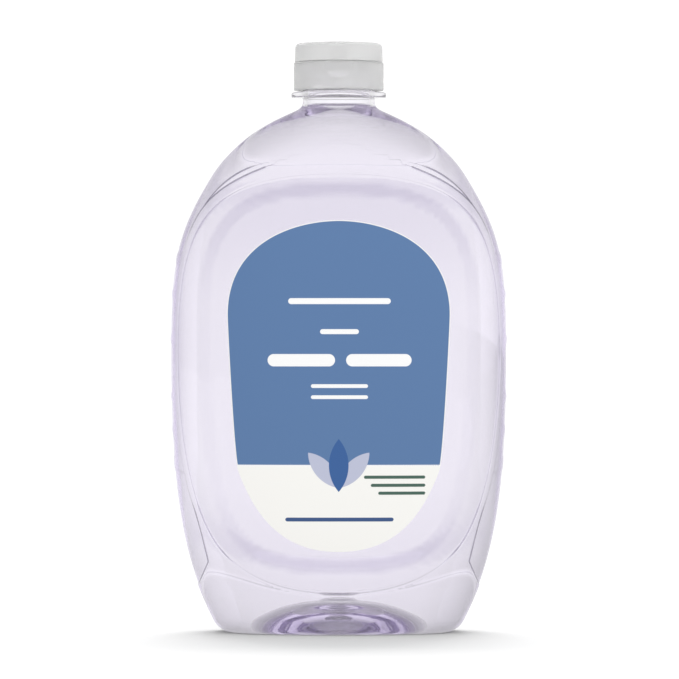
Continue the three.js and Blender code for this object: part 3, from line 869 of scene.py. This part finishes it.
def label_film(name, turn, scale, printing, material):
    """A thin film, closed round its edge; turn is 1 for the front and -1 for the back. Its rings
    are few behind and many in front, where the print's edges need them."""
    middle = np.array([0, LABEL_MIDDLE])
    outline = (label_edge() - middle) * scale + middle
    behind, seen = np.linspace(0.04, 1, 12), np.linspace(1, 0.01, 144)
    flat = [middle + (outline - middle) * part for part in (*behind, *seen)]
    depths = [PANEL_DEPTH + BEDDED] * len(behind) + [PANEL_DEPTH - FILM] * len(seen)
    rings = [label_surface(*f.T, depth) * (turn, turn, 1) for f, depth in zip(flat, depths)]
    poles = [label_surface(*middle[:, None], depth)[0] * (turn, turn, 1)
             for depth in (depths[0], depths[-1])]
    piece = loft(name, rings, material, *poles, 60)
    piece.data.materials.append(ADHESIVE)
    for face in piece.data.polygons[:(len(behind) - 1) * len(outline)]:
        face.material_index = 1
    places = np.vstack([*flat, middle[None], middle[None]])
    edge = -outside((LABEL_OUTLINE - middle) * scale + middle, *places.T)
    for ink, shape in printing(places[:, 0], places[:, 1], edge).items():
        attribute = piece.data.attributes.new(ink, "FLOAT", "POINT")
        attribute.data.foreach_set("value", shape.astype(np.float32))
    return piece


# ---- Cap: base, lid and the film hinge that joins them
SKIRT_LOW = BASE_LOW[2]
DECK_HIGH = BASE_HIGH[2] - 0.8
SKIRT_RADIUS = -BASE_LOW[1]
SKIRT_BORE = 16.6
SEAM_HEIGHT = HINGE_AXIS[2]
SEAM_GAP = 0.3
CAP_SHOULDER = SEAM_HEIGHT - SEAM_GAP / 2
DECK_STEP_RADIUS = 16.3
DECK_LOW = RIM_HEIGHT + 0.3
SPOUT_RADIUS, SPOUT_HIGH = 5.2, BASE_HIGH[2]
ORIFICE_RADIUS = 4
SEAL_RADIUS, SEAL_INNER_RADIUS, SEAL_LOW = 12.55, 11.6, 230.9
THUMB_DEPTH, THUMB_HEIGHT = 0.9, 6.5
LID_RIM = LID_LOW[2] + 0.75
LID_RADIUS, LID_TOP_RADIUS, LID_WALL = 18.15, 17.9, 1.35
LID_HIGH, LID_DOME, LID_CORNER = LID_HIGH[2], 0.4, 2
PIN_RADIUS, PIN_BORE, PIN_LOW = 3.6, 2.6, LID_LOW[2]
HINGE_WIDTH, HINGE_FRONT, HINGE_BACK = 9, 17.2, HINGE_AXIS[1]
HINGE_HEIGHT, HINGE_CHAMFER = 2.2, 1.3
CAP_AROUND = 160


def hinge_lug(name, fold, direction, material):
    """A bar behind the cap, chamfered on the side away from the fold."""
    far = fold + direction * HINGE_HEIGHT
    outline = [(HINGE_FRONT, fold), (HINGE_BACK, fold), (HINGE_BACK, far - direction * HINGE_CHAMFER),
               (HINGE_FRONT, far)]
    if direction < 0:
        outline.reverse()
    points = [(side * HINGE_WIDTH / 2, y, z) for side in (-1, 1) for y, z in outline]
    around = [(0, 1), (1, 2), (2, 3), (3, 0)]
    faces = [(0, 3, 2, 1), (4, 5, 6, 7), *((a, b, b + 4, a + 4) for a, b in around)]
    return new_piece(name, points, faces, material)


def add_to(piece, extra):
    """Joins another closed shape into the piece's own mesh."""
    modifier = piece.modifiers.new("join", "BOOLEAN")
    modifier.operation = "UNION"
    modifier.solver = "EXACT"
    modifier.object = extra
    bpy.context.view_layer.update()
    finished = piece.evaluated_get(bpy.context.evaluated_depsgraph_get())
    joined = bpy.data.meshes.new_from_object(finished)
    piece.modifiers.clear()
    piece.data = joined
    joined.name = piece.name
    joined.shade_smooth()
    joined.set_sharp_from_angle(angle=math.radians(35))
    bpy.data.objects.remove(extra)


def cap_base_moulding():
    profile = rounded([
        (SKIRT_BORE, SKIRT_LOW, 0), (SKIRT_RADIUS, SKIRT_LOW, 0.6),
        (SKIRT_RADIUS, CAP_SHOULDER, 0.5), (DECK_STEP_RADIUS, CAP_SHOULDER, 0),
        (DECK_STEP_RADIUS, DECK_HIGH, 0.25), (SPOUT_RADIUS, DECK_HIGH, 0.3),
        (SPOUT_RADIUS, SPOUT_HIGH, 0.3), (ORIFICE_RADIUS, SPOUT_HIGH, 0.3),
        (ORIFICE_RADIUS, DECK_LOW, 0.2), (SEAL_INNER_RADIUS, DECK_LOW, 0.3),
        (SEAL_INNER_RADIUS, SEAL_LOW, 0.2), (SEAL_RADIUS - 0.3, SEAL_LOW, 0.3),
        (SEAL_RADIUS, SEAL_LOW + 0.9, 0.3), (SEAL_RADIUS, DECK_LOW, 0.3),
        (SKIRT_BORE, DECK_LOW, 0.3), (SKIRT_BORE, SKIRT_LOW + 0.5, 0)])
    rings = np.array(circles(even_profile(profile, 0.4), CAP_AROUND))
    below = (CAP_SHOULDER - rings[..., 2]) / THUMB_HEIGHT
    depth = THUMB_DEPTH * (1 - np.clip(below, 0, 1) ** 4)
    front = -SKIRT_RADIUS + np.where(below >= -0.01, depth, -1)
    rings[..., 1] = np.maximum(rings[..., 1], front)
    points = rings.reshape(-1, 3)
    faces = grid_faces(len(rings), CAP_AROUND, True)
    piece = new_piece("cap_base_moulding", points, faces, CAP_PP, 35)
    add_to(piece, hinge_lug("lug", CAP_SHOULDER, -1, CAP_PP))
    return piece


def cap_lid_moulding():
    edge = LID_HIGH - LID_DOME
    under = edge - LID_WALL
    dome = [(LID_TOP_RADIUS * part, edge + LID_DOME * (1 - part ** 2))
            for part in np.linspace(1, 0, 14)]
    inside = rounded([
        (0.3, under, 0), (PIN_BORE, under, 0.2), (PIN_BORE, PIN_LOW, 0.2), (PIN_RADIUS, PIN_LOW, 0.3),
        (PIN_RADIUS, under, 0.3), (LID_TOP_RADIUS - LID_WALL, under, 1),
        (LID_RADIUS - LID_WALL, LID_RIM, 0.2), (LID_RADIUS, LID_RIM, 0.25),
        (LID_TOP_RADIUS, edge, LID_CORNER), (LID_TOP_RADIUS - 3.5, edge + 0.12, 0)], 8)
    top = [(r, z) for r, z in dome if r < LID_TOP_RADIUS - 4 and r > 0.2]
    rings = circles(even_profile([*inside, *top], 0.6), CAP_AROUND)
    piece = loft("cap_lid_moulding", rings, LID_PP, (0, 0, under), (0, 0, LID_HIGH), 35)
    add_to(piece, hinge_lug("lug", SEAM_HEIGHT + SEAM_GAP / 2, 1, LID_PP))
    return piece


def hinge_web():
    """The thin film that the lid folds on, moulded in one with base and lid."""
    half, thick, reach = HINGE_WIDTH / 2 - 0.5, 0.25, 0.8
    heights = np.linspace(SEAM_HEIGHT - reach, SEAM_HEIGHT + reach, 17)
    waist = 1 - 0.35 * (1 - smoothstep(np.abs(heights - SEAM_HEIGHT), 0, 0.5))
    rings = []
    for z, t in zip(heights, thick * waist):
        rings.append(np.array([(half, HINGE_BACK - t, z), (half, HINGE_BACK, z), (-half, HINGE_BACK, z),
                               (-half, HINGE_BACK - t, z)]))
    points = np.vstack(rings)
    last = len(points) - 4
    faces = grid_faces(len(rings), 4) + [(3, 2, 1, 0), (last, last + 1, last + 2, last + 3)]
    return new_piece("hinge_web", points, faces, CAP_PP, 35)


# ---- The pack, piece by piece
bottle = bottle_shell()
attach(bottle, "bottle")
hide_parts("bottle")

soap = soap_fill()
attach(soap, "bottle")
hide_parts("soap")

front_label = label_film("front_label_film", 1, 1, front_inks, FRONT_FILM)
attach(front_label, "bottle")
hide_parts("front_label")

back_label = label_film("back_label_film", -1, BACK_LABEL_SCALE, back_inks, BACK_FILM)
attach(back_label, "bottle")
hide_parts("back_label")

cap_base = cap_base_moulding()
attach(cap_base, "cap")
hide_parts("cap_base")

cap_lid = cap_lid_moulding()
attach(cap_lid, "lid")
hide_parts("cap_lid")

web = hinge_web()
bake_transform(web)


# ---- Studio: white floor, soft light, camera
# Brightness of the surroundings by facing: -1 is behind the camera, 1 straight behind the pack
WALLS = ((-1, 1.0), (-0.3, 1.0), (0, 0.87), (0.35, 0.68), (0.65, 0.75), (0.8, 0.83), (0.93, 0.89),
         (1, 0.89))
WALL_LIGHT = 1.15
LEFT_LEVEL = 0.72  # towards the left, the light goes down to this share
LEFT_SPAN = (-1, -0.2)  # facings along X, from fully there to not at all
HIGH_WALL, HIGH_LEVEL = 0.45, 0.6  # behind, by this rise, the light is down to this share
BEHIND = 0.4  # facing along Y from which that holds in full
CLOSE_FLOOR = (-20, 80)  # the floor's own shading gives way to a set level
CLOSE_LEVEL = 0.7
OPEN_FLOOR = (150, 900)  # the set level turns into that of the walls
SEEN_FLOOR = (0, 480)  # to the eye it turns into plain white,
SEEN_SHARE = (2.2, 1, 1)  # sooner to the sides than to the front
FLOOR_WHITE = (0.78, 0.78, 0.78, 1)
FLOOR_REACH = 12000
SOFTBOX_PLACE, SOFTBOX_AIM = (0, 1.1, 1.5), (0, 0, 0.05)
SOFTBOX_SIZE, SOFTBOX_POWER = (1.4, 0.9), 34
CAMERA_PLACE, LENS = (0.00031, -2.3, 0.1204), 295.8
LONG_PATHS, SHORT_PATHS = 64, 24  # light crosses many clear walls before it leaves


def wall_level(tree, facing):
    """Brightness of the studio walls for a facing, as a grey colour."""
    place = add_node(tree, "ShaderNodeMapRange", links={"Value": facing}, From_Min=-1, From_Max=1)
    level = add_node(tree, "ShaderNodeValToRGB", links={"Fac": place.outputs["Result"]})
    stops = level.color_ramp.elements
    for stop, (_, brightness) in zip(stops, (WALLS[0], WALLS[-1])):
        stop.color = (brightness, brightness, brightness, 1)
    for facing_stop, brightness in WALLS[1:-1]:
        stops.new((facing_stop + 1) / 2).color = (brightness, brightness, brightness, 1)
    return level.outputs["Color"]


def floor():
    """White to the eye. For what the pack bends or reflects, the floor is as bright as the walls
    where it meets them, so no horizon shows in the soap."""
    material, tree, output = new_material("white_floor")
    place = add_node(tree, "ShaderNodeTexCoord").outputs["Object"]
    away = add_node(tree, "ShaderNodeVectorMath", {"operation": "LENGTH"}, {0: place}).outputs["Value"]
    unit = add_node(tree, "ShaderNodeVectorMath", {"operation": "NORMALIZE"}, {0: place})
    facing = add_node(tree, "ShaderNodeSeparateXYZ", links={"Vector": unit.outputs["Vector"]})
    seen = add_node(tree, "ShaderNodeLightPath").outputs["Is Camera Ray"]
    aside = add_node(tree, "ShaderNodeVectorMath", {"operation": "MULTIPLY"}, {0: place},
                     _1=SEEN_SHARE).outputs["Vector"]
    apart = add_node(tree, "ShaderNodeVectorMath", {"operation": "LENGTH"}, {0: aside}).outputs["Value"]
    opened, closed, whitened = [
        add_node(tree, "ShaderNodeMapRange", {"interpolation_type": "SMOOTHSTEP"}, {"Value": distance},
                 From_Min=low * MM, From_Max=high * MM).outputs["Result"]
        for distance, (low, high) in ((away, OPEN_FLOOR), (away, CLOSE_FLOOR), (apart, SEEN_FLOOR))]
    level = add_node(tree, "ShaderNodeMix", {"data_type": "RGBA"},
                     {0: opened, 7: wall_level(tree, facing.outputs["Y"])},
                     _6=(CLOSE_LEVEL, CLOSE_LEVEL, CLOSE_LEVEL, 1))
    colour = add_node(tree, "ShaderNodeMix", {"data_type": "RGBA"}, {0: seen, 6: level.outputs[2]},
                      _7=(1, 1, 1, 1))
    share = add_node(tree, "ShaderNodeMix", links={0: seen, 2: closed, 3: whitened})
    matt = add_node(tree, "ShaderNodeBsdfDiffuse", Color=FLOOR_WHITE)
    glow = add_node(tree, "ShaderNodeEmission", links={"Color": colour.outputs[2]}, Strength=WALL_LIGHT)
    mix = add_node(tree, "ShaderNodeMixShader",
                   links={0: share.outputs[0], 1: matt.outputs[0], 2: glow.outputs[0]})
    tree.links.new(mix.outputs[0], output.inputs["Surface"])
    points = [(x * FLOOR_REACH, y * FLOOR_REACH, 0) for x, y in ((-1, -1), (1, -1), (1, 1), (-1, 1))]
    piece = new_piece("studio_floor", points, [(0, 1, 2, 3)], material)


def surroundings():
    """White to the eye. What the pack bends or reflects is brightest in front, a little dimmer
    straight behind and dimmest between there and the sides. It also dims to the left and, behind,
    upwards."""
    world = bpy.data.worlds.new("studio")
    bpy.context.scene.world = world
    world.use_nodes = True
    tree = world.node_tree
    tree.nodes.clear()
    direction = add_node(tree, "ShaderNodeTexCoord").outputs["Generated"]
    axes = add_node(tree, "ShaderNodeSeparateXYZ", links={"Vector": direction})
    high = add_node(tree, "ShaderNodeMapRange", links={"Value": axes.outputs["Z"]}, From_Max=HIGH_WALL)
    behind = add_node(tree, "ShaderNodeMapRange", {"interpolation_type": "SMOOTHSTEP"},
                      {"Value": axes.outputs["Y"]}, From_Max=BEHIND,
                      To_Max=WALL_LIGHT * (1 - HIGH_LEVEL))
    dimmed = add_node(tree, "ShaderNodeMath", {"operation": "MULTIPLY"},
                      {0: high.outputs["Result"], 1: behind.outputs["Result"]})
    kept = add_node(tree, "ShaderNodeMath", {"operation": "SUBTRACT"}, {1: dimmed.outputs[0]},
                    _0=WALL_LIGHT)
    left = add_node(tree, "ShaderNodeMapRange", links={"Value": axes.outputs["X"]},
                    From_Min=LEFT_SPAN[0], From_Max=LEFT_SPAN[1], To_Min=LEFT_LEVEL)
    strength = add_node(tree, "ShaderNodeMath", {"operation": "MULTIPLY"},
                        {0: kept.outputs[0], 1: left.outputs["Result"]})
    seen = add_node(tree, "ShaderNodeLightPath").outputs["Is Camera Ray"]
    soft = add_node(tree, "ShaderNodeBackground", links={
        "Color": wall_level(tree, axes.outputs["Y"]), "Strength": strength.outputs[0]})
    white = add_node(tree, "ShaderNodeBackground", Color=(1, 1, 1, 1), Strength=1.1)
    mix = add_node(tree, "ShaderNodeMixShader",
                   links={0: seen, 1: soft.outputs[0], 2: white.outputs[0]})
    add_node(tree, "ShaderNodeOutputWorld", links={"Surface": mix.outputs[0]})


def back_softbox():
    """A large soft light above and behind, which throws the shadow forward on the floor."""
    data = bpy.data.lights.new("back_softbox", "AREA")
    data.shape = "RECTANGLE"
    data.size, data.size_y = SOFTBOX_SIZE
    data.energy = SOFTBOX_POWER
    light = bpy.data.objects.new("back_softbox", data)
    bpy.context.scene.collection.objects.link(light)
    light.location = SOFTBOX_PLACE
    aim = Vector(SOFTBOX_AIM) - Vector(SOFTBOX_PLACE)
    light.rotation_euler = aim.to_track_quat("-Z", "Y").to_euler()
    light.visible_camera = False
    light.visible_glossy = False
    light.visible_transmission = False


def camera():
    """A long lens straight on, level with the middle of the pack."""
    data = bpy.data.cameras.new("camera")
    data.sensor_width = 36
    data.lens = LENS
    data.clip_end = 100
    view = bpy.data.objects.new("camera", data)
    bpy.context.scene.collection.objects.link(view)
    view.location = CAMERA_PLACE
    view.rotation_euler = (math.radians(90), 0, 0)
    bpy.context.scene.camera = view


floor()
surroundings()
back_softbox()
camera()

scene = bpy.context.scene
scene.view_settings.view_transform = "Standard"
scene.cycles.use_denoising = True
scene.cycles.max_bounces = LONG_PATHS
scene.cycles.transmission_bounces = LONG_PATHS
scene.cycles.glossy_bounces = SHORT_PATHS
scene.cycles.diffuse_bounces = SHORT_PATHS
scene.cycles.sample_clamp_indirect = 8
